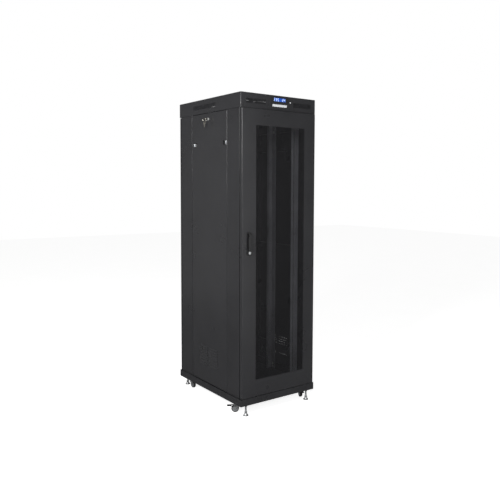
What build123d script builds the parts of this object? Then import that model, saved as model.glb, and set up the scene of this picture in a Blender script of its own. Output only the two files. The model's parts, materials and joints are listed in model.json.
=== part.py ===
from build123d import *
import os

# Free-standing 42U server rack cabinet, 600 mm wide and 800 mm deep.
# Millimetres. +X is to the right seen from the front, the front door faces -Y, +Z is up.
# The origin is on the floor, in the middle of the cabinet's footprint.

os.makedirs("parts", exist_ok=True)

# Rack standard
UNITS = 42
UNIT = 44.45
RAIL_HOLES_X = 465.1 / 2
RAIL_OPENING_X = 225.0
SQUARE_HOLE = 9.5
HOLES_IN_UNIT = (6.35, 22.225, 38.1)

# Levels, from the floor up
BASE_Z = 70.0
BASE_TALL = 45.0
BASE_TOP = BASE_Z + BASE_TALL
ROOF_TOP = 2057.0
ROOF_TALL = 94.0
ROOF_LOW = ROOF_TOP - ROOF_TALL
GAP = 3.0
SKIN_LOW = BASE_TOP + GAP
SKIN_TOP = ROOF_LOW - GAP
SKIN_MID = (SKIN_LOW + SKIN_TOP) / 2

# Plan sizes
BASE_X, BASE_FRONT, BASE_REAR = 302.0, -409.0, 408.0
ROOF_X, ROOF_Y = 300.0, 400.0
BODY_X = 296.0
FRAME_Y = 380.0
POST_INNER_X = 272.0
POST_FLANGE_X = 256.0
FRONT_POST_Y = -235.0
REAR_POST_Y = 225.0
RAIL_FRONT_Y, RAIL_REAR_Y = -260.0, 45.0

# Sheet thicknesses
PLATE = 3.0
SHEET = 2.0
SKIN = 1.5
MESH_SHEET = 1.2

# Doors, and the channels behind the front door's borders
DOOR_X = 295.0
DOOR_FRONT, DOOR_BACK = -408.0, -388.0
WINDOW_X0, WINDOW_X1 = -188.0, 202.0
WINDOW_Z0, WINDOW_Z1 = BASE_Z + 158, BASE_Z + 1787
MESH_LAP = 12.0
LEFT_CHANNEL, RIGHT_CHANNEL = (-218.0, -203.0), (222.0, 246.0)
REAR_DOOR_FRONT, REAR_DOOR_BACK = 385.0, 404.0
PIN_X = 289.0
FRONT_PIN_Y, REAR_PIN_Y = -392.0, 389.0
PIN_R, PIN_FIT = 2.5, 0.05
HINGE_HEIGHTS = (SKIN_LOW + 140, SKIN_MID, SKIN_TOP - 140)
FOLD_R = 4.0

# Swing handle
HANDLE_X = -241.0
CAM_REACH, CAM_HALF = 11.5, 8.0
HANDLE_LOW, HANDLE_HIGH = BASE_Z + 961, BASE_Z + 1117
HANDLE_PIVOT_Z = HANDLE_HIGH - 17
HANDLE_LOCK_Z = HANDLE_LOW + 22
SPINDLE_R, SPINDLE_HOLE_R = 6.0, 9.0
LEVER_PIN_R, LEVER_PIN_FIT = 1.95, 0.05

# Key locks
BARREL_R, LOCK_HOLE_R = 9.0, 9.3
KEYWAY_WIDE, KEYWAY_TALL, KEYWAY_LOW = 2.4, 8.0, -13.5
KEY_HOLE_Z, KEY_HOLE_R, KEY_TOP = 22.0, 4.0, 28.0
RING_R, WIRE_R, RING_PLAY = 12.0, 0.9, 0.4

# Side panels
PANEL_FRONT, PANEL_REAR = FRONT_POST_Y + 2, REAR_POST_Y - 2
PANEL_RETURN = 10.0
LATCH_Z = BASE_Z + 1685
LATCH_THUMBS = (-221.0, 189.0)
LATCH_AWAY = (1, -1)
PANEL_LOCK_Z = BASE_Z + 1851
LOUVRE_ROWS, LOUVRE_PITCH, LOUVRE_LOW = 8, 17.5, BASE_Z + 168
LOUVRE_COLUMNS = ((-115.0, -8.0), (14.0, 121.0))

# Braces between the posts, and what they carry
BRACE_TALL = 50.0
BRACE_LOW, BRACE_HIGH = BASE_TOP + 27, BASE_Z + 1815
BRACE_HEIGHTS = (BRACE_LOW, BASE_Z + 220, BASE_Z + 960, BASE_Z + 1682, BRACE_HIGH)
BOLT_HEIGHTS = (BRACE_LOW - 11, BRACE_LOW + 11, BRACE_HIGH - 17)
RAIL_LOW = BASE_TOP + 5
RAIL_MARGIN = 4.0
RAIL_TOP = RAIL_LOW + UNITS * UNIT + 2 * RAIL_MARGIN
RAIL_RETURN = 45.0
BOLT_R, BOLT_HOLE_R = 3.0, 3.25
FLANGE_R, FLANGE_TALL = 9.0, 1.5

# Cable entries, as half widths and depths, and the vents in the roof's fascia and flanks
FLOOR_ENTRY = (150.0, 235.0, 325.0)
FLANK_VENT_Y = (-100.0, 200.0)
FRONT_VENT_X = (107.0, 265.0)
VENT_Z0, VENT_Z1 = BASE_Z + 1921, BASE_Z + 1953
SLOT_WIDE, SLOT_PITCH = 4.0, 8.0
ROOF_ENTRY = (80.0, 290.0, 350.0)

# Fans
FAN_SIZE, FAN_TALL, FAN_BORE = 120.0, 25.0, 57.0
FAN_HUB_R, FAN_BLADES = 20.0, 7
MOTOR_SEAT = 3.0
SHAFT_R, SHAFT_FIT = 1.5, 0.05
FAN_Y, FAN_X = -60.0, 75.0
GUARD_TALL = 3.0
ROOF_UNDER = ROOF_TOP - SKIN
FAN_TOP = ROOF_UNDER - GUARD_TALL
FAN_LOW = FAN_TOP - FAN_TALL

# Thermostat
LCD_Z = BASE_Z + 1960
LCD_WIDE, LCD_TALL = 94.0, 22.0
CONTROLLER_X, CONTROLLER_Z = 62.0, 14.0
BUTTON_X, BUTTON_Z = 86.0, BASE_Z + 1950
BUTTON_R, BUTTON_HOLE_R = 4.0, 4.4

# Castors and levelling feet
WHEEL_R, WHEEL_WIDE, WHEEL_Z = 25.0, 18.0, 27.0
CASTOR_X, CASTOR_Y, TRAIL = 258.0, 308.0, 18.0
CASTOR_BOLTS = 22.0
KING_PIN_R, AXLE_R, FORK_HALF = 4.0, 3.0, 12.5
BRAKE_X, BRAKE_Z, BRAKE_RIVET_R, BRAKE_EYE_R = 14.0, 45.3, 2.0, 4.5
DOUBLER_X, DOUBLER_Y = 188.0, 262.0
CASTORS = {
    "front_left": (-1, -1, 142.0),
    "front_right": (1, -1, 250.0),
    "rear_left": (-1, 1, 270.0),
    "rear_right": (1, 1, 300.0),
}
FOOT_X, FOOT_Y = 250.0, 388.0
FOOT_PAD_R, STEM_R, STEM_FIT = 18.0, 6.0, 0.05


def block(x0, x1, y0, y1, z0, z1):
    """A box between two opposite corners, given in any order."""
    size = Box(abs(x1 - x0), abs(y1 - y0), abs(z1 - z0))
    return Pos((x0 + x1) / 2, (y0 + y1) / 2, (z0 + z1) / 2) * size


def disc(radius, low, high, x=0.0, y=0.0):
    """An upright cylinder."""
    return Pos(x, y, (low + high) / 2) * Cylinder(radius, abs(high - low))


def disc_y(radius, front, back, x, z):
    """A cylinder along Y."""
    return Pos(x, (front + back) / 2, z) * Rot(90, 0, 0) * Cylinder(radius, abs(back - front))


def disc_x(radius, x0, x1, y, z):
    """A cylinder along X."""
    return Pos((x0 + x1) / 2, y, z) * Rot(0, 90, 0) * Cylinder(radius, abs(x1 - x0))


def upright_edges(part):
    return part.edges().filter_by(Axis.Z)


def save(name, *shapes):
    """Writes one node: a single solid, or a group of separate solids."""
    solids = [solid for shape in shapes for solid in shape.solids()]
    whole = solids[0] if len(solids) == 1 else Compound(children=solids)
    export_step(whole, f"parts/{name}.step")


def flip_x(shape):
    return mirror(shape, about=Plane.YZ)


def flip_y(shape):
    return mirror(shape, about=Plane.XZ)


# ---------------------------------------------------------------- base


def castor_bolt_places(side_x, side_y):
    """The four bolts of one castor plate."""
    corners = [(i * CASTOR_BOLTS, j * CASTOR_BOLTS) for i in (-1, 1) for j in (-1, 1)]
    return [(side_x * CASTOR_X + x, side_y * CASTOR_Y + y) for x, y in corners]


def base_frame():
    """Folded plinth: a ring of channel, open inwards, with a doubler plate in each corner."""
    outer = block(-BASE_X, BASE_X, BASE_FRONT, BASE_REAR, BASE_Z, BASE_TOP)
    outer = fillet(upright_edges(outer), FOLD_R)
    x_in = BASE_X - SHEET
    inner = block(-x_in, x_in, BASE_FRONT + SHEET, BASE_REAR - SHEET, BASE_Z + SHEET, BASE_TOP - SHEET)
    ring = outer - inner
    ring -= block(-252, 252, BASE_FRONT + 50, BASE_REAR - 50, BASE_TOP - 5, BASE_TOP + 5)
    ring -= block(-262, 262, BASE_FRONT + 40, BASE_REAR - 40, BASE_Z - 5, BASE_Z + 5)
    for side_x, side_y, _ in CASTORS.values():
        edge = BASE_FRONT if side_y < 0 else BASE_REAR
        x0, x1 = side_x * (BASE_X - SHEET), side_x * DOUBLER_X
        y0, y1 = edge - side_y * SHEET, side_y * DOUBLER_Y
        ring += block(x0, x1, y0, y1, BASE_Z, BASE_Z + PLATE)
    for side_x, side_y, _ in CASTORS.values():
        ring -= disc(STEM_R + STEM_FIT, BASE_Z - 1, BASE_Z + 5, side_x * FOOT_X, side_y * FOOT_Y)
        for x, y in castor_bolt_places(side_x, side_y):
            ring -= disc(BOLT_HOLE_R, BASE_Z - 1, BASE_Z + 5, x, y)
    return ring


def floor_panel():
    """Floor plate with a cable entry at the rear, the edges of the entry folded down."""
    plate = block(-269, 269, -357, 357, BASE_TOP, BASE_TOP + SHEET)
    half, y0, y1 = FLOOR_ENTRY
    hole = block(-half, half, y0, y1, BASE_TOP - 20, BASE_TOP + 5)
    lip = block(-half - SHEET, half + SHEET, y0 - SHEET, y1 + SHEET, BASE_TOP - 12, BASE_TOP) - hole
    return plate - hole + lip


# ---------------------------------------------------------------- frame


def post(far_y):
    """A corner post of folded sheet, at +X and at the front; far_y is how deep its side flange goes."""
    z0, z1 = BASE_TOP, ROOF_UNDER
    face = block(POST_FLANGE_X, BODY_X, -FRAME_Y, SHEET - FRAME_Y, z0, z1)
    face_lip = block(POST_FLANGE_X - SHEET, POST_FLANGE_X, -FRAME_Y, -FRAME_Y + 20, z0, z1)
    side = block(BODY_X - SHEET, BODY_X, -FRAME_Y, far_y, z0, z1)
    back = block(POST_INNER_X, BODY_X, far_y - SHEET, far_y, z0, z1)
    back_lip = block(POST_INNER_X, POST_INNER_X + SHEET, far_y - 20, far_y, z0, z1)
    profile = face + face_lip + side + back + back_lip
    mid_z = (z0 + z1) / 2
    for corner_y in (-FRAME_Y, far_y):
        corner = Vector(BODY_X, corner_y, mid_z)
        outer = [e for e in upright_edges(profile) if (e.center() - corner).length < 0.1]
        profile = fillet(outer, 1.9)
    return profile


def cross_member(low):
    """A channel between the posts, at the front."""
    half = POST_FLANGE_X - SHEET
    channel = block(-half, half, -FRAME_Y, -FRAME_Y + 20, low, low + 50)
    y0, y1 = -FRAME_Y + SHEET, -FRAME_Y + 21
    return channel - block(-half - 1, half + 1, y0, y1, low + SHEET, low + 50 - SHEET)


def rail_bolt_places():
    """Depths at which the front and the rear rails are bolted to the braces."""
    return (RAIL_FRONT_Y + 36, RAIL_REAR_Y + SHEET - 20)


def side_brace(z):
    """A shallow channel from post to post at +X, closed by an end tab against each post."""
    x0, x1 = POST_INNER_X, POST_INNER_X + 11
    y0, y1 = FRONT_POST_Y, REAR_POST_Y
    z0, z1 = z - BRACE_TALL / 2, z + BRACE_TALL / 2
    channel = block(x0, x1, y0, y1, z0, z1)
    channel -= block(x0 + SKIN, x1 + 1, y0 + SKIN, y1 - SKIN, z0 + SKIN, z1 - SKIN)
    for y in rail_bolt_places():
        for bolt_z in BOLT_HEIGHTS:
            if z0 < bolt_z < z1:
                channel -= disc_x(BOLT_HOLE_R, x0 - 1, x0 + 3, y, bolt_z)
    return channel


def rack_rail(face_y, inward):
    """A 19-inch upright at +X. inward is +1 where its returns run towards +Y."""
    x_out = POST_INNER_X
    face = block(RAIL_OPENING_X, x_out, face_y, face_y + inward * SHEET, RAIL_LOW, RAIL_TOP)
    near = block(RAIL_OPENING_X, RAIL_OPENING_X + SHEET, face_y, face_y + inward * 22, RAIL_LOW, RAIL_TOP)
    far = block(x_out - SHEET, x_out, face_y, face_y + inward * RAIL_RETURN, RAIL_LOW, RAIL_TOP)
    places = [
        Pos(RAIL_HOLES_X, RAIL_LOW + RAIL_MARGIN + unit * UNIT + hole)
        for unit in range(UNITS)
        for hole in HOLES_IN_UNIT
    ]
    squares = Sketch() + [place * Rectangle(SQUARE_HOLE, SQUARE_HOLE) for place in places]
    cutter = extrude(Plane.XZ.offset(-face_y - 5) * squares, 10)
    rail = face + near + far - cutter
    y = min(rail_bolt_places(), key=lambda place: abs(place - face_y))
    for z in BOLT_HEIGHTS:
        rail -= disc_x(BOLT_HOLE_R, x_out - 5, x_out + 1, y, z)
    return rail


def bolt_x(y, z):
    """A flanged rail bolt at +X: its head is inside the rail, its shank goes out through the brace."""
    head_face = POST_INNER_X - SHEET
    head = Pos(head_face - 2, y, z) * Rot(0, 90, 0) * extrude(RegularPolygon(6, 6), 2, both=True)
    head += disc_x(FLANGE_R, head_face - FLANGE_TALL, head_face, y, z)
    return head + disc_x(BOLT_R, head_face, head_face + 8, y, z)


def castor_bolt(x, y):
    """A castor bolt: head under the castor plate, shank up through the doubler."""
    head = Pos(x, y, BASE_Z - PLATE - 4) * extrude(RegularPolygon(6, 6), 4)
    return head + disc(BOLT_R, BASE_Z - PLATE, BASE_Z + PLATE + 2, x, y)


def frame_bolts():
    at_rails = [bolt_x(y, z) for z in BOLT_HEIGHTS for y in rail_bolt_places()]
    at_castors = [
        castor_bolt(*place)
        for side_x, side_y, _ in CASTORS.values()
        for place in castor_bolt_places(side_x, side_y)
    ]
    return [*at_rails, *[flip_x(bolt) for bolt in at_rails], *at_castors]


# ---------------------------------------------------------------- roof


def slot_row(x0, x1, z0, z1):
    """Vertical slots side by side, cut through a wall that faces -Y at the roof's front."""
    count = int((x1 - x0) // SLOT_PITCH)
    start = (x0 + x1 - (count - 1) * SLOT_PITCH) / 2
    slot = SlotOverall(z1 - z0, SLOT_WIDE, rotation=90)
    slots = Sketch() + [Pos(start + i * SLOT_PITCH, (z0 + z1) / 2) * slot for i in range(count)]
    return extrude(Plane.XZ.offset(ROOF_Y - 5) * slots, 10)


def roof_cover():
    """Folded roof cap with fan apertures, a rear cable entry, and slotted vents."""
    cap = block(-ROOF_X, ROOF_X, -ROOF_Y, ROOF_Y, ROOF_LOW, ROOF_TOP)
    cap = fillet(upright_edges(cap), FOLD_R)
    cap = fillet(cap.faces().sort_by(Axis.Z)[-1].edges(), 1.4)
    cap -= block(SKIN - ROOF_X, ROOF_X - SKIN, SKIN - ROOF_Y, ROOF_Y - SKIN, ROOF_LOW - 1, ROOF_UNDER)
    for side in (-1, 1):
        y0, y1 = side * (ROOF_Y - SKIN), side * (FRAME_Y + 3)
        cap += block(SKIN - ROOF_X, ROOF_X - SKIN, y0, y1, ROOF_LOW, ROOF_LOW + SKIN)
        cap -= disc(FAN_BORE, ROOF_UNDER - 1, ROOF_TOP + 1, side * FAN_X, FAN_Y)
    half, y0, y1 = ROOF_ENTRY
    cap -= block(-half, half, y0, y1, ROOF_UNDER - 1, ROOF_TOP + 1)
    front = slot_row(*FRONT_VENT_X, VENT_Z0, VENT_Z1)
    flank = Rot(0, 0, 90) * Pos(0, ROOF_Y - ROOF_X, 0) * slot_row(*FLANK_VENT_Y, VENT_Z0 + 2, VENT_Z1)
    cap -= front + flip_x(front)
    cap -= flank + flip_x(flank)
    half, tall = CONTROLLER_X + 1, CONTROLLER_Z + 1
    cap -= block(-half, half, -ROOF_Y - 1, -ROOF_Y + 3, LCD_Z - tall, LCD_Z + tall)
    return cap - disc_y(BUTTON_HOLE_R, -ROOF_Y - 1, -ROOF_Y + 3, BUTTON_X, BUTTON_Z)


def fan_frame(x):
    """Square fan frame with a round bore and a motor seat on three struts at its lower face."""
    half = FAN_SIZE / 2
    frame = fillet(upright_edges(block(-half, half, -half, half, 0, FAN_TALL)), FOLD_R)
    frame -= disc(FAN_BORE, -1, FAN_TALL + 1)
    frame += disc(FAN_HUB_R, 0, MOTOR_SEAT)
    for angle in (90, 210, 330):
        frame += Rot(0, 0, angle) * block(FAN_HUB_R - 5, FAN_BORE + 1, -4, 4, 0, MOTOR_SEAT)
    frame -= disc(SHAFT_R + SHAFT_FIT, -1, MOTOR_SEAT + 1)
    return Pos(x, FAN_Y, FAN_LOW) * frame


def fan_rotor(x):
    """Hub cup with seven pitched blades, on a thin shaft."""
    hub = disc(FAN_HUB_R, MOTOR_SEAT + 1, 21) - disc(FAN_HUB_R - 2, MOTOR_SEAT, 19)
    hub += disc(SHAFT_R, 0.5, 20)
    blade = Pos(37, 0, 12.5) * Rot(35, 0, 0) * Box(36, 22, 1.6)
    blade &= disc(54.5, 4.5, 21)
    for i in range(FAN_BLADES):
        hub += Rot(0, 0, i * 360 / FAN_BLADES) * blade
    return Pos(x, FAN_Y, FAN_LOW) * hub


def fan_guard(x):
    """Wire finger guard between the fan and the roof plate."""
    wire = 1.2
    guard = Part()
    for radius in (12, 22, 32, 42, 52):
        guard += Pos(0, 0, wire) * Torus(radius, wire)
    for angle in (45, 135):
        guard += Pos(0, 0, wire) * Rot(0, 0, angle) * Rot(0, 90, 0) * Cylinder(wire, 156)
    return Pos(x, FAN_Y, FAN_TOP + 0.2) * guard


def controller_housing():
    """Thermostat: bezel proud of the fascia, body behind it, and a side box that carries the button."""
    half, tall = CONTROLLER_X, CONTROLLER_Z
    rim_x, rim_z = half + 4, tall + 4
    bezel = block(-rim_x, rim_x, -ROOF_Y - 2, -ROOF_Y, LCD_Z - rim_z, LCD_Z + rim_z)
    bezel = fillet(bezel.edges().filter_by(Axis.Y), 3)
    body = block(-half, half, -ROOF_Y, -ROOF_Y + 32, LCD_Z - tall, LCD_Z + tall)
    box = block(half, 98, -ROOF_Y + SKIN, -ROOF_Y + 18, BUTTON_Z - 12, BUTTON_Z + 12)
    housing = bezel + body + box
    half_x, half_z = LCD_WIDE / 2, LCD_TALL / 2
    housing -= block(-half_x, half_x, -ROOF_Y - 3, -ROOF_Y, LCD_Z - half_z, LCD_Z + half_z)
    housing -= disc_y(BUTTON_HOLE_R, -ROOF_Y, -ROOF_Y + 8, BUTTON_X, BUTTON_Z)
    return housing


def lcd_window():
    half_x, half_z = LCD_WIDE / 2, LCD_TALL / 2
    return block(-half_x, half_x, -ROOF_Y - 1.2, -ROOF_Y, LCD_Z - half_z, LCD_Z + half_z)


def blank_badge():
    plate = block(-57, 57, -ROOF_Y - 1, -ROOF_Y, BASE_Z + 1915, BASE_Z + 1930)
    return fillet(plate.edges().filter_by(Axis.Y), 3)


def controller_button():
    cap = disc_y(BUTTON_R, -ROOF_Y - 3, -ROOF_Y + 5, BUTTON_X, BUTTON_Z)
    return fillet(cap.faces().sort_by(Axis.Y)[0].edges(), 0.8)


# ---------------------------------------------------------------- doors


def hinge_bracket(pin_y, frame_face_y, z):
    """Frame half of a door hinge: a plate on the post with an eye that holds the pin from below."""
    plate_y = frame_face_y + (pin_y - frame_face_y) * 0.35
    foot = block(PIN_X - 24, PIN_X - 5, frame_face_y, plate_y, z - 22, z - 2)
    eye = disc(4.2, z - 14, z - 8, PIN_X, pin_y)
    arm = block(PIN_X - 24, PIN_X, pin_y - 1.5, pin_y + 1.5, z - 14, z - 8)
    link = block(PIN_X - 24, PIN_X - 18, frame_face_y, pin_y, z - 14, z - 8)
    return foot + eye + arm + link - disc(PIN_R, z - 20, z, PIN_X, pin_y)


def hinge_pin(pin_y, z):
    return disc(PIN_R, z - 16, z + 10, PIN_X, pin_y)


def door_pan(front, back, x_half, edge_radius):
    """A door skin with its four edges folded back. front is the outer face."""
    step = 1 if back > front else -1
    pan = block(-x_half, x_half, front, back, SKIN_LOW, SKIN_TOP)
    outer = [e for e in upright_edges(pan) if abs(e.center().Y - front) < 0.1]
    pan = fillet(outer, edge_radius)
    pan -= block(
        SKIN - x_half, x_half - SKIN, front + step * SKIN, back + step, SKIN_LOW + SKIN, SKIN_TOP - SKIN
    )
    return pan


def hinge_knuckles(pin_y):
    """Door half of the hinges: an eye above each bracket, tied back to the hinge-side fold."""
    knuckles = Part()
    for z in HINGE_HEIGHTS:
        tie = block(PIN_X - 3.4, DOOR_X - SKIN, pin_y - 3.4, pin_y + 3.4, z - 6, z + 12)
        knuckles += tie - disc(PIN_R + PIN_FIT, z - 7, z + 13, PIN_X, pin_y)
    return knuckles


def front_door_frame():
    """Folded door with a large window, holes for the handle and hinge knuckles."""
    door = door_pan(DOOR_FRONT, DOOR_BACK, DOOR_X, 5)
    door -= block(WINDOW_X0, WINDOW_X1, DOOR_FRONT - 1, DOOR_FRONT + 5, WINDOW_Z0, WINDOW_Z1)
    door -= disc_y(SPINDLE_HOLE_R, DOOR_FRONT - 1, DOOR_FRONT + 5, HANDLE_X, HANDLE_PIVOT_Z)
    door -= disc_y(LOCK_HOLE_R, DOOR_FRONT - 1, DOOR_FRONT + 5, HANDLE_X, HANDLE_LOCK_Z)
    door += hinge_knuckles(FRONT_PIN_Y)
    return door


def front_door_mesh():
    """Perforated sheet behind the window, drawn here as its plain envelope."""
    x0, x1 = WINDOW_X0 - MESH_LAP, WINDOW_X1 + MESH_LAP
    y0 = DOOR_FRONT + SKIN
    return block(x0, x1, y0, y0 + MESH_SHEET, WINDOW_Z0 - MESH_LAP, WINDOW_Z1 + MESH_LAP)


def front_door_channels():
    """Two stiffening channels behind the door's borders."""
    y0, y1 = DOOR_FRONT + SKIN, DOOR_BACK - 2
    channels = []
    for x0, x1 in (LEFT_CHANNEL, RIGHT_CHANNEL):
        channel = block(x0, x1, y0, y1, SKIN_LOW + 12, SKIN_TOP - 12)
        channel -= block(x0 + SKIN, x1 - SKIN, y0 + SKIN, y1 + 1, SKIN_LOW, SKIN_TOP)
        channels.append(channel)
    return channels


def handle_dish():
    """Base plate of the swing handle: a lock boss low down, and a neck through the door at the pivot."""
    z_mid, tall = (HANDLE_LOW + HANDLE_HIGH) / 2, HANDLE_HIGH - HANDLE_LOW
    outline = Pos(HANDLE_X, z_mid) * SlotOverall(tall, 34, rotation=90)
    plate = extrude(Plane.XZ.offset(-DOOR_FRONT) * outline, 4)
    plate += disc_y(12, DOOR_FRONT - 9, DOOR_FRONT - 4, HANDLE_X, HANDLE_LOCK_Z)
    neck_r = SPINDLE_HOLE_R - 0.2
    plate += disc_y(neck_r, DOOR_FRONT, DOOR_FRONT + 12, HANDLE_X, HANDLE_PIVOT_Z)
    plate -= disc_y(SPINDLE_R + PIN_FIT, DOOR_FRONT - 10, DOOR_FRONT + 20, HANDLE_X, HANDLE_PIVOT_Z)
    plate -= disc_y(BARREL_R + PIN_FIT, DOOR_FRONT - 12, DOOR_FRONT + 2, HANDLE_X, HANDLE_LOCK_Z)
    return plate


def handle_spindle():
    """Pivot boss outside, shaft through the door and the latch cam behind it, pointing at the post."""
    y_out, y_in = DOOR_FRONT - 4.3, DOOR_FRONT + 35
    spindle = disc_y(13, y_out - 5, y_out, HANDLE_X, HANDLE_PIVOT_Z)
    for side in (-1, 1):
        ear_x0, ear_x1 = HANDLE_X + side * 8.5, HANDLE_X + side * 12
        z0, z1 = HANDLE_PIVOT_Z - 6, HANDLE_PIVOT_Z + 6
        spindle += block(ear_x0, ear_x1, y_out - 14, y_out - 2, z0, z1)
    spindle -= disc_x(LEVER_PIN_R + LEVER_PIN_FIT, HANDLE_X - 20, HANDLE_X + 20, y_out - 9.5, HANDLE_PIVOT_Z)
    spindle += disc_y(SPINDLE_R, y_out - 1, y_in, HANDLE_X, HANDLE_PIVOT_Z)
    z0, z1 = HANDLE_PIVOT_Z - CAM_HALF, HANDLE_PIVOT_Z + CAM_HALF
    cam = block(HANDLE_X - CAM_REACH, HANDLE_X + 9, y_in - 3, y_in, z0, z1)
    return spindle + (cam & disc_y(CAM_REACH, y_in - 3, y_in, HANDLE_X, HANDLE_PIVOT_Z))


def handle_lever():
    """Grip that folds down over the dish; it pops out about a cross pin in the spindle's ears."""
    y_back, y_pin = DOOR_FRONT - 4.6, DOOR_FRONT - 4.3 - 9.5
    z_top, z_low = HANDLE_PIVOT_Z - 14.5, HANDLE_LOCK_Z + 14
    grip = block(HANDLE_X - 12, HANDLE_X + 12, y_back - 14, y_back, z_low, z_top)
    grip = fillet(grip.edges().filter_by(Axis.Z), 4)
    grip = fillet(grip.faces().sort_by(Axis.Z)[0].edges(), 3)
    neck = block(HANDLE_X - 8.1, HANDLE_X + 8.1, y_pin - 4.5, y_pin + 3.2, z_top - 4, HANDLE_PIVOT_Z + 3)
    pin = disc_x(LEVER_PIN_R, HANDLE_X - 11.8, HANDLE_X + 11.8, y_pin, HANDLE_PIVOT_Z)
    return grip + neck + pin


def lock_barrel(length, face_r, proud):
    """A key cylinder along -Z, its face at the top, with a keyway slot."""
    half_x, half_y = KEYWAY_WIDE / 2, KEYWAY_TALL / 2
    keyway = block(-half_x, half_x, -half_y, half_y, KEYWAY_LOW, proud + 1)
    return disc(face_r, 0, proud) + disc(BARREL_R, -length, 0) - keyway


def handle_lock():
    """Key cylinder in the dish's lower boss."""
    barrel = lock_barrel(8, BARREL_R, 1.2)
    return Pos(HANDLE_X, DOOR_FRONT - 9, HANDLE_LOCK_Z) * Rot(90, 0, 0) * barrel


def rear_door_panel():
    """Plain folded steel door at the rear, with knuckles on its hinge side."""
    door = door_pan(REAR_DOOR_BACK, REAR_DOOR_FRONT, DOOR_X, 5)
    door -= disc_y(LOCK_HOLE_R, REAR_DOOR_BACK - 5, REAR_DOOR_BACK + 1, HANDLE_X, SKIN_MID)
    return door + hinge_knuckles(REAR_PIN_Y)


def rear_lock():
    """Key cylinder of the rear door, with its cam on the inside."""
    barrel = lock_barrel(29, 12, 2.5)
    cam = block(-CAM_REACH, CAM_HALF, -CAM_HALF, CAM_HALF, -29, -27) & disc(CAM_REACH, -29, -27)
    return Pos(HANDLE_X, REAR_DOOR_BACK, SKIN_MID) * Rot(-90, 0, 0) * (barrel + cam)


# ---------------------------------------------------------------- side panels, drawn at -X


def louvre_hood(y0, y1, z):
    """A pressed-out hood over a slot, closed at its ends and open downwards."""
    x = -BODY_X
    points = [(x + 0.2, z + 9), (x - 4.5, z + 1), (x - 4.5, z), (x - 3.2, z), (x + 0.2, z + 6.6)]
    profile = make_face(Polyline(*points, close=True))
    hood = Pos(0, y1, 0) * extrude(Plane.XZ * profile, y1 - y0)
    cheeks = make_face(Polyline((x + 0.2, z), (x - 4.5, z), (x - 4.5, z + 1), (x + 0.2, z + 9), close=True))
    for y in (y0 + 1.2, y1):
        hood += Pos(0, y, 0) * extrude(Plane.XZ * cheeks, 1.2)
    return hood


def side_panel():
    """Pan with a louvre field low down, a lock hole near the top and two latch cut-outs."""
    x0, x1 = -BODY_X, -BODY_X + PANEL_RETURN
    pan = block(x0, x1, PANEL_FRONT, PANEL_REAR, SKIN_LOW, SKIN_TOP)
    outer = [e for e in upright_edges(pan) if abs(e.center().X - x0) < 0.1]
    pan = fillet(outer, 3)
    pan -= block(x0 + SKIN, x1 + 1, PANEL_FRONT + SKIN, PANEL_REAR - SKIN, SKIN_LOW + SKIN, SKIN_TOP - SKIN)
    pan -= disc_x(LOCK_HOLE_R, x0 - 1, x0 + 5, 0, PANEL_LOCK_Z)
    for thumb, away in zip(LATCH_THUMBS, LATCH_AWAY):
        pan -= latch_pocket(thumb, away, 0, x0 - 1, x0 + 5)
    for y0, y1 in LOUVRE_COLUMNS:
        for row in range(LOUVRE_ROWS):
            z = LOUVRE_LOW + row * LOUVRE_PITCH
            pan -= block(x0 - 1, x0 + 5, y0 + 1.2, y1 - 1.2, z + 1, z + 6.5)
            pan += louvre_hood(y0, y1, z)
    return pan


def latch_pocket(thumb, away, margin, x0, x1):
    """The rounded slot of a slide latch. away is the direction in which its thumb piece slides."""
    y0, y1 = thumb - away * (10 - margin), thumb + away * (34 - margin)
    pocket = block(x0, x1, y0, y1, LATCH_Z - 15 + margin, LATCH_Z + 15 - margin)
    return fillet(pocket.edges().filter_by(Axis.X), 4)


def latch_cups():
    """Two recessed latch bodies, behind the panel skin."""
    cups = []
    for thumb, away in zip(LATCH_THUMBS, LATCH_AWAY):
        cup = latch_pocket(thumb, away, 0, -BODY_X, -BODY_X + 9)
        cup -= latch_pocket(thumb, away, 1.6, -BODY_X - 1, -BODY_X + 7.5)
        cups.append(cup)
    return cups


def slide_latch(thumb, away):
    """Thumb piece in its cup."""
    x0 = -BODY_X - 1.5
    body = block(x0 + 2, -BODY_X + 7.2, thumb - away * 7, thumb + away * 9, LATCH_Z - 12, LATCH_Z + 12)
    for i in range(3):
        body += block(x0, x0 + 2.5, thumb - 5 + i * 5, thumb - 2.5 + i * 5, LATCH_Z - 10, LATCH_Z + 10)
    return body


def panel_lock():
    """Key cylinder through the panel, with a cam on its inner end."""
    barrel = lock_barrel(12, 11.5, 2.5)
    cam = Pos(0, 0, -10.5) * block(-22, 8, -8, 8, -1, 1)
    return Pos(-BODY_X, 0, PANEL_LOCK_Z) * Rot(0, -90, 0) * (barrel + cam)


def key():
    """A flat key: blade along -Z, bow above the origin."""
    bow = fillet(block(-1, 1, -11, 11, 8, KEY_TOP).edges().filter_by(Axis.X), 6)
    bow -= disc_x(KEY_HOLE_R, -2, 2, 0, KEY_HOLE_Z)
    return bow + block(-1, 1, -3.5, 3.5, -9, 9)


def panel_keys():
    """One key in the left panel's lock, a split ring over its bow, and a spare hanging from the ring."""
    face_x = -BODY_X - 2.5
    in_lock = Pos(face_x, 0, PANEL_LOCK_Z) * Rot(0, -90, 0) * key()
    ring_x = face_x - KEY_TOP
    ring_top = PANEL_LOCK_Z + 1 + WIRE_R + RING_PLAY
    ring = Pos(ring_x, 0, ring_top - RING_R) * Rot(90, 0, 0) * Torus(RING_R, WIRE_R)
    spare_hole = ring_top - 2 * RING_R + WIRE_R + RING_PLAY - KEY_HOLE_R
    spare = Pos(ring_x, 0, spare_hole - KEY_HOLE_Z) * key()
    return in_lock, ring, spare


# ---------------------------------------------------------------- castors and feet


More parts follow.
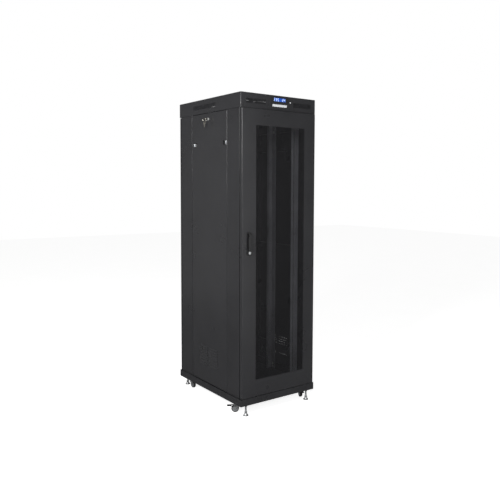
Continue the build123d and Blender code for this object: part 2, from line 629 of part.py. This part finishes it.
def at_castor(name, shape):
    """Places a shape drawn with its swivel at the origin and its trail along +X."""
    side_x, side_y, heading = CASTORS[name]
    return Pos(side_x * CASTOR_X, side_y * CASTOR_Y, 0) * Rot(0, 0, heading) * shape


def castor_plates():
    plates = []
    for side_x, side_y, _ in CASTORS.values():
        x, y = side_x * CASTOR_X, side_y * CASTOR_Y
        plate = block(x - 30, x + 30, y - 30, y + 30, BASE_Z - PLATE, BASE_Z)
        plate = fillet(upright_edges(plate), 6)
        plate += disc(14, BASE_Z - 7, BASE_Z - PLATE, x, y)
        for bolt_place in castor_bolt_places(side_x, side_y):
            plate -= disc(BOLT_HOLE_R, BASE_Z - 10, BASE_Z + 1, *bolt_place)
        plate -= disc(KING_PIN_R + PIN_FIT, BASE_Z - 8, BASE_Z + 1, x, y)
        plates.append(plate)
    return plates


def castor_fork(name):
    """Swivel head, king pin, two legs and the wheel's axle."""
    crown_z0, crown_z1 = BASE_Z - 15, BASE_Z - 7.4
    fork = disc(17, crown_z0, crown_z1)
    fork += disc(KING_PIN_R, crown_z1 - 1, BASE_Z - 0.5)
    fork += block(-8, TRAIL + 8, -FORK_HALF, FORK_HALF, crown_z0, crown_z0 + 2.5)
    for side in (-1, 1):
        leg = Pos(TRAIL, side * (FORK_HALF - 1), WHEEL_Z) * Rot(90, 0, 0) * Cylinder(8, 2)
        leg += block(-8, TRAIL + 8, side * (FORK_HALF - 2), side * FORK_HALF, WHEEL_Z + 12, crown_z0 + 1)
        leg += block(TRAIL - 8, TRAIL + 8, side * (FORK_HALF - 2), side * FORK_HALF, WHEEL_Z, WHEEL_Z + 13)
        fork += leg
    fork += Pos(TRAIL, 0, WHEEL_Z) * Rot(90, 0, 0) * Cylinder(AXLE_R, 2 * FORK_HALF + 1)
    if CASTORS[name][1] < 0:
        for side in (-1, 1):
            fork += disc_y(BRAKE_RIVET_R, side * (FORK_HALF - 1), side * (FORK_HALF + 3), BRAKE_X, BRAKE_Z)
    return at_castor(name, fork)


def castor_wheel(name):
    """Tread and hub in one moulding, running on the axle."""
    wheel = fillet(Cylinder(WHEEL_R, WHEEL_WIDE).edges(), 3)
    for side in (-1, 1):
        dish = Cylinder(17, 3) - Cylinder(7, 3)
        wheel -= Pos(0, 0, side * (WHEEL_WIDE / 2 - 1.5)) * dish
    wheel -= Cylinder(AXLE_R + 0.06, 40)
    return at_castor(name, Pos(TRAIL, 0, WHEEL_Z) * Rot(90, 0, 0) * wheel)


def castor_brake(name):
    """Foot lever over the wheel, its two eyes turning on rivets of the fork."""
    z = WHEEL_Z + WHEEL_R + 0.8
    pedal = block(TRAIL + 26, 71, -11, 11, z - 10, z - 6)
    pedal = fillet(upright_edges(pedal), 3)
    for side in (-1, 1):
        pedal += block(TRAIL - 6, TRAIL + 30, side * 13, side * 15, z - 10, z - 5)
        pedal += block(TRAIL + 26, TRAIL + 30, side * 10, side * 15, z - 10, z - 6)
        pedal += disc_y(BRAKE_EYE_R, side * 13, side * 15, BRAKE_X, BRAKE_Z)
    pedal -= disc_y(BRAKE_RIVET_R + PIN_FIT, -20, 20, BRAKE_X, BRAKE_Z)
    return at_castor(name, pedal)


def levelling_foot(side_x, side_y):
    """Flared pad, hexagon and threaded stem."""
    x, y = side_x * FOOT_X, side_y * FOOT_Y
    pad = disc(FOOT_PAD_R, 0, 4) + Pos(0, 0, 12) * Cone(FOOT_PAD_R, 8, 16)
    hexagon = Pos(0, 0, 20) * extrude(RegularPolygon(9, 6), 6)
    stem = disc(STEM_R, 20, BASE_Z + 34)
    return Pos(x, y, 0) * (pad + hexagon + stem)


def foot_nut(side_x, side_y):
    """Lock nut up against the doubler plate."""
    nut = extrude(RegularPolygon(10.5, 6), 8) - Cylinder(STEM_R + STEM_FIT, 30)
    return Pos(side_x * FOOT_X, side_y * FOOT_Y, BASE_Z - 8) * nut


# ---------------------------------------------------------------- write the nodes


def write_frame():
    save("base_frame", base_frame())
    save("floor_panel", floor_panel())
    front_post = post(FRONT_POST_Y)
    rear_post = flip_y(post(-REAR_POST_Y))
    save("post_front_right", front_post)
    save("post_front_left", flip_x(front_post))
    save("post_rear_right", rear_post)
    save("post_rear_left", flip_x(rear_post))
    members = [cross_member(BASE_TOP), cross_member(ROOF_LOW - 50)]
    save("cross_members", *members, *[flip_y(member) for member in members])
    braces = [side_brace(z) for z in BRACE_HEIGHTS]
    save("side_braces", *braces, *[flip_x(brace) for brace in braces])
    rails = {"front": rack_rail(RAIL_FRONT_Y, 1), "rear": rack_rail(RAIL_REAR_Y + SHEET, -1)}
    for name, rail in rails.items():
        save(f"rack_rail_{name}_right", rail)
        save(f"rack_rail_{name}_left", flip_x(rail))
    save("frame_bolts", *frame_bolts())
    pin_rows = ((FRONT_PIN_Y, -FRAME_Y), (REAR_PIN_Y, FRAME_Y))
    hinges = [(pin_y, face_y, z) for pin_y, face_y in pin_rows for z in HINGE_HEIGHTS]
    save("hinge_brackets", *[hinge_bracket(*place) for place in hinges])
    save("hinge_pins", *[hinge_pin(pin_y, z) for pin_y, _, z in hinges])


def write_roof():
    save("roof_cover", roof_cover())
    save("fan_frames", fan_frame(-FAN_X), fan_frame(FAN_X))
    save("fan_guards", fan_guard(-FAN_X), fan_guard(FAN_X))
    save("fan_rotor_left", fan_rotor(-FAN_X))
    save("fan_rotor_right", fan_rotor(FAN_X))
    save("controller_housing", controller_housing())
    save("lcd_window", lcd_window())
    save("controller_button", controller_button())
    save("blank_badge", blank_badge())


def write_doors():
    save("front_door_frame", front_door_frame())
    save("front_door_mesh", front_door_mesh())
    save("front_door_channels", *front_door_channels())
    save("handle_dish", handle_dish())
    save("handle_spindle", handle_spindle())
    save("handle_lever", handle_lever())
    save("handle_lock", handle_lock())
    save("rear_door_panel", rear_door_panel())
    save("rear_lock", rear_lock())


def write_sides():
    panel, cups, lock = side_panel(), latch_cups(), panel_lock()
    latches = [slide_latch(thumb, away) for thumb, away in zip(LATCH_THUMBS, LATCH_AWAY)]
    save("side_panel_left", panel)
    save("side_panel_right", flip_x(panel))
    save("latch_cups_left", *cups)
    save("latch_cups_right", *[flip_x(cup) for cup in cups])
    save("panel_lock_left", lock)
    save("panel_lock_right", flip_x(lock))
    for place, latch in zip(("front", "rear"), latches):
        save(f"slide_latch_left_{place}", latch)
        save(f"slide_latch_right_{place}", flip_x(latch))
    save("panel_keys", *panel_keys())


def write_ground_gear():
    save("castor_plates", *castor_plates())
    for name, (side_x, side_y, _) in CASTORS.items():
        save(f"castor_fork_{name}", castor_fork(name))
        save(f"castor_wheel_{name}", castor_wheel(name))
        save(f"foot_{name}", levelling_foot(side_x, side_y))
        if side_y < 0:
            save(f"castor_brake_{name}", castor_brake(name))
    save("foot_nuts", *[foot_nut(side_x, side_y) for side_x, side_y, _ in CASTORS.values()])


write_frame()
write_roof()
write_doors()
write_sides()
write_ground_gear()
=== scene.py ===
import json
from math import cos, radians, sin, sqrt, tau

import bpy
import numpy as np
from mathutils import Euler, Matrix, Vector


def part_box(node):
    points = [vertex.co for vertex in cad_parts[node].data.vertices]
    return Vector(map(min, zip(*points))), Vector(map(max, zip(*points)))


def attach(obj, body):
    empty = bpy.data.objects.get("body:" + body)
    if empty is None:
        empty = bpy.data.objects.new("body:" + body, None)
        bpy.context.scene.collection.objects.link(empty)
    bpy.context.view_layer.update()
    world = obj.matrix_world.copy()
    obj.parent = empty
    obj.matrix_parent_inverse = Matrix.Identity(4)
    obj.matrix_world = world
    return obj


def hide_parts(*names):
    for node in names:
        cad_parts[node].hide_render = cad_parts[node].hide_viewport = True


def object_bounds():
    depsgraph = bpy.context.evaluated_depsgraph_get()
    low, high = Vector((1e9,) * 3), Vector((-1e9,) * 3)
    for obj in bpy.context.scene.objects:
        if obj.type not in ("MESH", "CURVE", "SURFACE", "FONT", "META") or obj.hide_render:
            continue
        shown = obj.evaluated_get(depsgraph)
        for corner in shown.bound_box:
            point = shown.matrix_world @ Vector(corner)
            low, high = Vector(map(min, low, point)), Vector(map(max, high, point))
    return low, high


# Free-standing server rack cabinet in black powder coat. Metres, in the frame of the CAD model.

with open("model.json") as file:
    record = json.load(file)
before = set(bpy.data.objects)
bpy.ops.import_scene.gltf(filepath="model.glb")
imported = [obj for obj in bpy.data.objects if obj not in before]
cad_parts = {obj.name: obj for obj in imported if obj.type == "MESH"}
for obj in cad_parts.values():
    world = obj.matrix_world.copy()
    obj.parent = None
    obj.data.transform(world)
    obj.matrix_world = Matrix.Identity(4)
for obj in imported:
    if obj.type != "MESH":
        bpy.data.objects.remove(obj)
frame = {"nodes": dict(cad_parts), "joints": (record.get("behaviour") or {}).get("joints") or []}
cad_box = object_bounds()

MM = 0.001
SHARP_ABOVE = 35  # degrees
CORNERS = ("front_left", "front_right", "rear_left", "rear_right")
JOINTS = {joint["name"]: joint for joint in frame["joints"]}


# ---------------------------------------------------------------- materials


def linear(code):
    """An sRGB hex colour as linear red, green, blue and alpha."""
    parts = [int(code[i:i + 2], 16) / 255 for i in (0, 2, 4)]
    return (*[c / 12.92 if c <= 0.04045 else ((c + 0.055) / 1.055) ** 2.4 for c in parts], 1.0)


def add(tree, kind, values=None, links=None):
    """Adds a node with its socket values and its incoming links."""
    node = tree.nodes.new(kind)
    for socket, value in (values or {}).items():
        node.inputs[socket].default_value = value
    for socket, output in (links or {}).items():
        tree.links.new(output, node.inputs[socket])
    return node


def finish_of(name, dark, light, rough, mottle_mm, grain_mm, grain_deep_mm, shader):
    """A finish whose colour and gloss drift over mottle_mm and whose skin is grained at grain_mm.
    rough is its lowest and highest roughness, and shader holds the values that are the same all over."""
    material = bpy.data.materials.new(name)
    material.use_nodes = True
    tree = material.node_tree
    principled = tree.nodes["Principled BSDF"]
    for socket, value in shader.items():
        principled.inputs[socket].default_value = value
    place = add(tree, "ShaderNodeTexCoord").outputs["Object"]
    drift = add(
        tree, "ShaderNodeTexNoise",
        values={"Scale": 1 / (mottle_mm * MM), "Detail": 3.0, "Roughness": 0.6}, links={"Vector": place},
    ).outputs["Fac"]
    colour = add(tree, "ShaderNodeValToRGB", links={"Fac": drift})
    for stop, (at, code) in zip(colour.color_ramp.elements, ((0.35, dark), (0.65, light))):
        stop.position, stop.color = at, linear(code)
    gloss = add(
        tree, "ShaderNodeMapRange",
        values={"From Min": 0.3, "From Max": 0.7, "To Min": rough[0], "To Max": rough[1]},
        links={"Value": drift},
    )
    grain = add(
        tree, "ShaderNodeTexNoise",
        values={"Scale": 1 / (grain_mm * MM), "Detail": 2.0}, links={"Vector": place},
    ).outputs["Fac"]
    bump = add(
        tree, "ShaderNodeBump",
        values={"Strength": 0.6, "Distance": grain_deep_mm * MM}, links={"Height": grain},
    )
    tree.links.new(colour.outputs["Color"], principled.inputs["Base Color"])
    tree.links.new(gloss.outputs["Result"], principled.inputs["Roughness"])
    tree.links.new(bump.outputs["Normal"], principled.inputs["Normal"])
    return material


def powder_coat(name, dark, light):
    """Baked polyester powder on folded steel: even satin black, with a shallow orange peel. The real
    peel is under 1 mm across and is drawn at 2.5 mm so that it shows."""
    shader = {"Metallic": 0.0, "IOR": 1.5}
    return finish_of(name, dark, light, (0.27, 0.30), 240, 2.5, 0.015, shader)


def make_finishes():
    """Every finish by the name of what it is."""
    metal, plain = {"Metallic": 1.0}, {"Metallic": 0.0}
    return {
        # satin black powder on the doors, sides and roof
        "powder_panel": powder_coat("powder_coat_panels", "262628", "29292B"),
        # the same powder on the frame, painted a little darker: painted shade for the frame hidden inside
        # the cabinet
        "frame_powder_painted_shade": powder_coat("powder_coat_frame_painted_shade", "232325", "272729"),
        # rack rails get a grey powder, paler than the frame: their own dark grey, lifted with painted light
        # for the light that falls on them through the door sheet
        "rail_powder_painted_light": powder_coat("powder_coat_rails_painted_light", "7C7D82", "8A8B90"),
        # zinc plate: pale, mottled, not polished
        "zinc": finish_of("zinc_plate", "C8CACB", "E2E4E5", (0.38, 0.52), 9, 0.9, 0.03, metal),
        # hot-galvanised castor forks: paler and duller, with a coarser crystal
        "galvanised": finish_of("galvanised_steel", "C2C4C5", "E4E6E7", (0.38, 0.55), 5, 1.2, 0.05, metal),
        # satin chrome on the key cylinders: bright from every side
        "chrome": finish_of("chrome_plate", "E2E4E6", "F0F1F2", (0.30, 0.40), 12, 0.8, 0.01, metal),
        # nickel-plated keys and ring
        "nickel": finish_of("nickel_plate", "B9B4A8", "D6D2C6", (0.20, 0.34), 6, 0.7, 0.02, metal),
        # black oxide on the lock nuts
        "black_oxide": finish_of("black_oxide_steel", "2A2A2B", "3A3A3C", (0.40, 0.55), 8, 1.0, 0.03, metal),
        # moulded glass-filled nylon: near black, slightly grained
        "nylon": finish_of("black_nylon", "161617", "1E1E1F", (0.36, 0.48), 30, 1.0, 0.05, plain),
        # die-cast swing handle, painted satin black, and made darker than the powder round it: painted shade
        # for the recess of its dish
        "handle_paint_and_recess_shade": finish_of(
            "painted_zinc_handle_and_recess_shade", "171718", "1C1C1D", (0.30, 0.36), 25, 1.2, 0.02, plain,
        ),
        # moulded PBT fans: duller and smoother than the nylon
        "pbt": finish_of("black_pbt", "141415", "1A1A1B", (0.45, 0.58), 25, 1.2, 0.04, plain),
        # polyurethane tread: dark and matt, with scuffs
        "tread": finish_of("polyurethane_tread", "1B1B1C", "2B2B2C", (0.55, 0.75), 7, 0.8, 0.06, plain),
        # polypropylene castor hub: mid grey
        "hub": finish_of("grey_polypropylene", "77797B", "8A8C8E", (0.40, 0.52), 12, 0.9, 0.03, plain),
        # satin white plastic of the blank strip and the push button
        "badge": finish_of("satin_white_strip", "C4C6C8", "D2D4D6", (0.34, 0.44), 18, 1.0, 0.02, plain),
        # acrylic window of the display, lit blue from behind
        "display": finish_of(
            "lit_blue_display", "0F2A66", "17398A", (0.10, 0.18), 20, 1.0, 0.005,
            {"Metallic": 0.0, "IOR": 1.49, "Emission Color": linear("2E5FC0"), "Emission Strength": 0.55},
        ),
        # the display's lit segments: pale blue-white
        "segments": finish_of(
            "lit_display_segments", "B9D2F5", "CFE0FA", (0.30, 0.40), 10, 1.0, 0.005,
            {"Metallic": 0.0, "Emission Color": linear("C4DAFA"), "Emission Strength": 0.9},
        ),
    }


FINISHES = make_finishes()

NODE_FINISHES = {
    # the frame takes the darker powder, which is painted shade
    "frame_powder_painted_shade": ("base_frame", "floor_panel", "cross_members", "side_braces", "hinge_brackets",
                     "post_front_left", "post_front_right", "post_rear_left", "post_rear_right"),
    "powder_panel": ("roof_cover", "front_door_frame", "front_door_channels", "rear_door_panel",
                     "side_panel_left", "side_panel_right"),
    # the rails take the paler powder, which is partly painted light
    "rail_powder_painted_light": ("rack_rail_front_left", "rack_rail_front_right", "rack_rail_rear_left",
                    "rack_rail_rear_right"),
    "zinc": ("frame_bolts", "hinge_pins", "fan_guards"),
    "galvanised": ("castor_plates", *[f"castor_fork_{corner}" for corner in CORNERS]),
    "black_oxide": ("foot_nuts",),
    "chrome": ("handle_lock", "rear_lock", "panel_lock_left", "panel_lock_right",
               "slide_latch_left_front", "slide_latch_left_rear", "slide_latch_right_front",
               "slide_latch_right_rear"),
    "nickel": ("panel_keys",),
    # the handle's darker finish is partly painted shade of its recess
    "handle_paint_and_recess_shade": ("handle_dish", "handle_spindle", "handle_lever"),
    "nylon": ("latch_cups_left", "latch_cups_right", "controller_housing", "castor_brake_front_left",
              "castor_brake_front_right"),
    "pbt": ("fan_frames", "fan_rotor_left", "fan_rotor_right"),
    "badge": ("blank_badge", "controller_button"),
    "display": ("lcd_window",),
}


def finish_cad_nodes():
    for finish, nodes in NODE_FINISHES.items():
        for node in nodes:
            slots = frame["nodes"][node].data.materials
            slots.clear()
            slots.append(FINISHES[finish])


# ---------------------------------------------------------------- mesh helpers


def piece(name, points, faces, finish, body, slot, smooth=False):
    """A mesh piece that rides on a body and takes the finish named by finish. The slot argument is not used.
    """
    mesh = bpy.data.meshes.new(name)
    mesh.from_pydata([tuple(p) for p in points], [], [tuple(f) for f in faces])
    mesh.validate()
    mesh.update()
    mesh.materials.append(FINISHES[finish])
    if smooth:
        mesh.shade_smooth()
        mesh.set_sharp_from_angle(angle=radians(SHARP_ABOVE))
    made = bpy.data.objects.new(name, mesh)
    bpy.context.scene.collection.objects.link(made)
    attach(made, body)
    return made


def lathe(profile, around=48):
    """Turns a closed outline of (radius, height) points about local Z."""
    points = [
        (r * cos(tau * k / around), r * sin(tau * k / around), z) for k in range(around) for r, z in profile
    ]
    n = len(profile)
    faces = [
        (k * n + i, (k + 1) % around * n + i, (k + 1) % around * n + (i + 1) % n, k * n + (i + 1) % n)
        for k in range(around) for i in range(n)
    ]
    return points, faces


def arc(centre, radius, start, end, steps):
    """Points of an arc in an outline, from one angle in degrees to another."""
    angles = [radians(start + (end - start) * k / steps) for k in range(steps + 1)]
    return [(centre[0] + radius * cos(a), centre[1] + radius * sin(a)) for a in angles]


def prism(outline, low, high):
    """A closed prism on a flat outline of (x, y) points, from low to high along Z."""
    n = len(outline)
    points = [(x, y, low) for x, y in outline] + [(x, y, high) for x, y in outline]
    faces = [tuple(range(n))[::-1], tuple(range(n, 2 * n))]
    faces += [(i, (i + 1) % n, n + (i + 1) % n, n + i) for i in range(n)]
    return points, faces


def joined(*meshes):
    """Several point and face lists as one."""
    points, faces = [], []
    for more_points, more_faces in meshes:
        faces += [tuple(i + len(points) for i in face) for face in more_faces]
        points += more_points
    return points, faces


def placed(mesh, matrix):
    points, faces = mesh
    return [matrix @ Vector(p) for p in points], faces


# ---------------------------------------------------------------- perforated door sheet

PITCH = 7.2 * MM
OPENING = 6.1 * MM
SHEET_PIECES = 4
HEX_ANGLES = [radians(30 + 60 * k) for k in range(6)]


def beside(i, j):
    """The cells across the six sides of cell (i, j), counted anticlockwise from the upper right."""
    shift = j % 2
    return ((i + shift, j + 1), (i + shift - 1, j + 1), (i - 1, j),
            (i + shift - 1, j - 1), (i + shift, j - 1), (i + 1, j))


def perforated_cells(columns, rows, origin, y_front, y_back):
    """Sheet steel with a hexagonal hole in every cell; rows is the range of rows to make."""
    step = PITCH * sqrt(3) / 2
    points, faces = [], []
    for j in rows:
        for i in range(columns):
            x = origin[0] + (i + 0.5 + (j % 2) / 2) * PITCH
            z = origin[1] + (j + 2 / 3) * step
            first = len(points)
            for y in (y_front, y_back):
                for across in (PITCH, OPENING):
                    r = across / sqrt(3)
                    points += [(x + r * cos(a), y, z + r * sin(a)) for a in HEX_ANGLES]
            for k, (ni, nj) in enumerate(beside(i, j)):
                a, b = first + k, first + (k + 1) % 6
                faces.append((a, b, b + 6, a + 6))
                faces.append((b + 12, a + 12, a + 18, b + 18))
                faces.append((a + 6, b + 6, b + 18, a + 18))
                if not (0 <= ni < columns and nj in rows):
                    faces.append((b, a, a + 12, b + 12))
    return points, faces


def welded(points, faces):
    """The same faces on points that neighbours share."""
    keys = np.round(np.array(points), 6)
    shared, number = np.unique(keys, axis=0, return_inverse=True)
    number = number.ravel()
    return [tuple(p) for p in shared], [tuple(int(number[i]) for i in face) for face in faces]


def make_perforated_sheet():
    low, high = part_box("front_door_mesh")
    step = PITCH * sqrt(3) / 2
    columns = int((high.x - low.x) / PITCH - 0.5)
    rows = int((high.z - low.z) / step - 2 / 3)
    origin = ((low.x + high.x - (columns + 0.5) * PITCH) / 2, (low.z + high.z - (rows + 1 / 3) * step) / 2)
    for part in range(SHEET_PIECES):
        span = range(rows * part // SHEET_PIECES, rows * (part + 1) // SHEET_PIECES)
        mesh = welded(*perforated_cells(columns, span, origin, low.y, high.y))
        sheet = piece(f"perforated_sheet_{part + 1}", *mesh, "powder_panel", "front_door", "mesh_paint")
        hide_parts("front_door_mesh")


# ---------------------------------------------------------------- castor wheels

TREAD_R, HUB_R, BORE_R, WHEEL_WIDE = 25 * MM, 18 * MM, 3.06 * MM, 18 * MM
TREAD_ROUND, AROUND = 4 * MM, 64
# the hub: its cap, how deep it is dished, its rim and the slopes down to the dish
CAP_R, DISH_DEEP, RIM_WIDE, RIM_BACK, SLOPE = 7 * MM, 3.5 * MM, 1.5 * MM, 0.5 * MM, MM
RIBS, RIB_HALF = 6, MM


def make_wheel(corner):
    """A tread moulded round a dished hub, both running on the fork's axle."""
    joint = JOINTS[f"wheel_roll_{corner}"]
    turn = Vector((0, 0, 1)).rotation_difference(Vector(joint["axis"])).to_matrix().to_4x4()
    at_axle = Matrix.Translation(Vector(joint["pos_m"])) @ turn
    half = WHEEL_WIDE / 2
    tread = arc((TREAD_R - TREAD_ROUND, half - TREAD_ROUND), TREAD_ROUND, 90, 0, 6)
    tread += arc((TREAD_R - TREAD_ROUND, TREAD_ROUND - half), TREAD_ROUND, 0, -90, 6)
    tread += [(HUB_R, -half), (HUB_R, half)]
    dish, rim, rim_r = half - DISH_DEEP, half - RIM_BACK, HUB_R - RIM_WIDE
    hub = [(BORE_R, half), (CAP_R, half), (CAP_R + SLOPE, dish), (rim_r - SLOPE, dish), (rim_r, rim),
           (HUB_R, rim)]
    hub += [(r, -z) for r, z in hub[::-1]]
    rib_end = rim_r - SLOPE / 2
    ribs = []
    for k in range(RIBS):
        rib = prism([(CAP_R, -RIB_HALF), (rib_end, -RIB_HALF), (rib_end, RIB_HALF), (CAP_R, RIB_HALF)],
                    -rim, rim)
        ribs.append(placed(rib, Matrix.Rotation(tau * k / RIBS, 4, "Z")))
    body = f"wheel_{corner}"
    tyre = piece(f"castor_tread_{corner}", *placed(lathe(tread, AROUND), at_axle), "tread", body,
                 "tyre_rubber", smooth=True)
    centre = piece(f"castor_hub_{corner}", *placed(joined(lathe(hub, AROUND), *ribs), at_axle), "hub", body,
                   "tyre_rubber", smooth=True)
    for made in (tyre, centre):
        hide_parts(f"castor_wheel_{corner}")


# ---------------------------------------------------------------- levelling feet

STEM_R, THREAD_PITCH, THREAD_DEEP = 6 * MM, 1.75 * MM, 0.95 * MM
RINGS_A_TURN = 4
# the pad: the rounding of its edge, the top of that edge, and where its flare starts
EDGE_R, EDGE_TOP, SHOULDER_Z, NEAR_AXIS = MM, 3 * MM, 4 * MM, 0.2 * MM
# the flare narrows from the edge to a neck, under the hexagon
NECK_R, COLLAR_Z, FLARE_POWER, FLARE_STEPS = 8 * MM, 20 * MM, 2.2, 10
HEX_R, HEX_TOP = 9 * MM, 26 * MM


def thread(low, high, around=24):
    """An M12 thread as one ridged tube, closed at both ends."""
    rings = int((high - low) / THREAD_PITCH * RINGS_A_TURN)
    points, faces = [], []
    for ring in range(rings + 1):
        z = low + (high - low) * ring / rings
        for k in range(around):
            turn = k / around
            wave = abs(((z / THREAD_PITCH - turn) % 1) * 2 - 1)
            r = STEM_R - THREAD_DEEP * (1 - wave)
            points.append((r * cos(tau * turn), r * sin(tau * turn), z))
    for ring in range(rings):
        for k in range(around):
            a, b = ring * around + k, ring * around + (k + 1) % around
            faces.append((a, b, b + around, a + around))
    last = rings * around
    return points, faces + [tuple(range(around))[::-1], tuple(range(last, last + around))]


def make_foot(corner):
    """Flared pad, hexagon and threaded stem."""
    node = f"foot_{corner}"
    low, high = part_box(node)
    pad_r = (high.x - low.x) / 2
    shoulder_r = pad_r - EDGE_R
    flare = [(NEAR_AXIS, 0), (shoulder_r, 0)] + arc((shoulder_r, EDGE_R), EDGE_R, -90, 0, 4)
    flare.append((pad_r, EDGE_TOP))
    for k in range(FLARE_STEPS + 1):
        t = k / FLARE_STEPS
        flare.append((NECK_R + (shoulder_r - NECK_R) * (1 - t) ** FLARE_POWER,
                      SHOULDER_Z + (COLLAR_Z - SHOULDER_Z) * t))
    flare.append((NEAR_AXIS, COLLAR_Z))
    hexagon = prism([(HEX_R * cos(a), HEX_R * sin(a)) for a in HEX_ANGLES], COLLAR_Z, HEX_TOP)
    at_foot = Matrix.Translation(Vector(((low.x + high.x) / 2, (low.y + high.y) / 2, 0)))
    mesh = placed(joined(lathe(flare), hexagon, thread(HEX_TOP, high.z)), at_foot)
    made = piece(f"levelling_foot_{corner}", *mesh, "zinc", node, "zinc", smooth=True)
    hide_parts(node)


# ---------------------------------------------------------------- display segments

SEGMENTS = {"2": "abged", "3": "abgcd", "4": "fgbc", "5": "afgcd"}
DIGIT_WIDE, DIGIT_TALL, STROKE, SEGMENT_DEEP = 8.5 * MM, 15 * MM, 1.9 * MM, 0.3 * MM
# each digit with the place of its middle along X, and the point between the second and the third
DIGITS = (("2", -42 * MM), ("3", -28 * MM), ("5", -12 * MM), ("2", 24 * MM), ("4", 38 * MM))
POINT_X = -20 * MM


def bar(x, z, wide, tall, y_front, y_back):
    """An upright flat bar centred at (x, z)."""
    outline = [(-wide / 2, -tall / 2), (wide / 2, -tall / 2), (wide / 2, tall / 2), (-wide / 2, tall / 2)]
    points, faces = prism([(x + u, z + v) for u, v in outline], y_front, y_back)
    return [(p[0], p[2], p[1]) for p in points], [face[::-1] for face in faces]


def make_display():
    """Seven-segment digits on the lit window: a plain temperature, 23.5, and a set point, 24."""
    low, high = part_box("lcd_window")
    z_mid, y_back = (low.z + high.z) / 2, low.y
    y_front = y_back - SEGMENT_DEEP
    half_w, half_t = DIGIT_WIDE / 2, DIGIT_TALL / 2
    places = {"a": (0, half_t, 1), "g": (0, 0, 1), "d": (0, -half_t, 1), "f": (-half_w, half_t / 2, 0),
              "b": (half_w, half_t / 2, 0), "e": (-half_w, -half_t / 2, 0), "c": (half_w, -half_t / 2, 0)}
    bars = []
    for digit, x in DIGITS:
        for name in SEGMENTS[digit]:
            dx, dz, lies = places[name]
            wide, tall = (DIGIT_WIDE - STROKE, STROKE) if lies else (STROKE, half_t - STROKE)
            bars.append(bar(x + dx, z_mid + dz, wide, tall, y_front, y_back))
    bars.append(bar(POINT_X, z_mid - half_t, STROKE, STROKE, y_front, y_back))
    piece("display_segments", *joined(*bars), "segments", "cabinet", "lcd_glass")


# ---------------------------------------------------------------- stage, lights and camera


FLOOR_REACH, FLOOR_GLOW = 14, 0.85
ROOM_LIGHT, SKY_SEEN = 0.12, 1.0


def make_stage():
    """A wide pale floor."""
    mesh = bpy.data.meshes.new("floor")
    corners = [(x * FLOOR_REACH, y * FLOOR_REACH, 0) for x, y in ((-1, -1), (1, -1), (1, 1), (-1, 1))]
    mesh.from_pydata(corners, [], [(0, 1, 2, 3)])
    mesh.materials.append(finish_of(
        "pale_studio_floor", "F4F4F3", "FAFAFA", (0.85, 0.95), 400, 5, 0.05,
        {"Emission Color": linear("FFFFFF"), "Emission Strength": FLOOR_GLOW, "Specular IOR Level": 0.1}))
    floor = bpy.data.objects.new("floor", mesh)
    bpy.context.scene.collection.objects.link(floor)
    # a floor this bright would be mirrored in the satin powder of the lower panels
    floor.visible_glossy = False


def make_world():
    """Even white light from all round, under a white sky."""
    world = bpy.data.worlds.new("studio")
    world.use_nodes = True
    tree = world.node_tree
    tree.nodes.clear()
    seen = add(tree, "ShaderNodeLightPath").outputs["Is Camera Ray"]
    around = add(tree, "ShaderNodeBackground", values={"Color": (1, 1, 1, 1), "Strength": ROOM_LIGHT})
    behind = add(tree, "ShaderNodeBackground", values={"Color": (1, 1, 1, 1), "Strength": SKY_SEEN})
    mix = add(tree, "ShaderNodeMixShader", links={"Fac": seen})
    tree.links.new(around.outputs[0], mix.inputs[1])
    tree.links.new(behind.outputs[0], mix.inputs[2])
    add(tree, "ShaderNodeOutputWorld", links={"Surface": mix.outputs[0]})
    bpy.context.scene.world = world


# each light: where it hangs, how wide and tall it is in metres, and its watts
LIGHTS = {
    "left_softbox": ((-3.4, 4.9, 1.2), (1.8, 3.2), 4),
    "front_softbox": ((1.0, -4.0, 1.1), (1.2, 2.8), 27),
    "edge_softbox": ((-2.7, -1.5, 2.4), (0.6, 1.6), 92),
    "fill": ((-2.6, -4.8, 2.8), (1.2, 1.2), 40),
}


def make_light(name, place, size, watts):
    """A soft panel of light aimed at the middle of the cabinet."""
    middle = (cad_box[0] + cad_box[1]) / 2
    light = bpy.data.lights.new(name, "AREA")
    light.shape = "RECTANGLE"
    light.size, light.size_y = size
    light.energy = watts
    made = bpy.data.objects.new(name, light)
    made.location = place
    made.rotation_euler = (middle - Vector(place)).to_track_quat("-Z", "Y").to_euler()
    bpy.context.scene.collection.objects.link(made)


CAMERA_PLACE = (-2.358, -3.532, 1.468)
CAMERA_TURN = (86.198, -0.347, -37.439)
CAMERA_LENS, CAMERA_SENSOR = 43.21, 36
CAMERA_SHIFT = (-0.0681, -0.0455)


def make_camera():
    camera = bpy.data.cameras.new("camera")
    camera.lens = CAMERA_LENS
    camera.sensor_width = CAMERA_SENSOR
    camera.shift_x, camera.shift_y = CAMERA_SHIFT
    made = bpy.data.objects.new("camera", camera)
    made.location = CAMERA_PLACE
    made.rotation_euler = Euler([radians(angle) for angle in CAMERA_TURN], "XYZ")
    bpy.context.scene.collection.objects.link(made)
    bpy.context.scene.camera = made


finish_cad_nodes()
make_perforated_sheet()
for corner in CORNERS:
    make_wheel(corner)
    make_foot(corner)
make_display()

make_stage()
make_world()
for name, (place, size, watts) in LIGHTS.items():
    make_light(name, place, size, watts)
make_camera()
bpy.context.scene.view_settings.view_transform = "Standard"
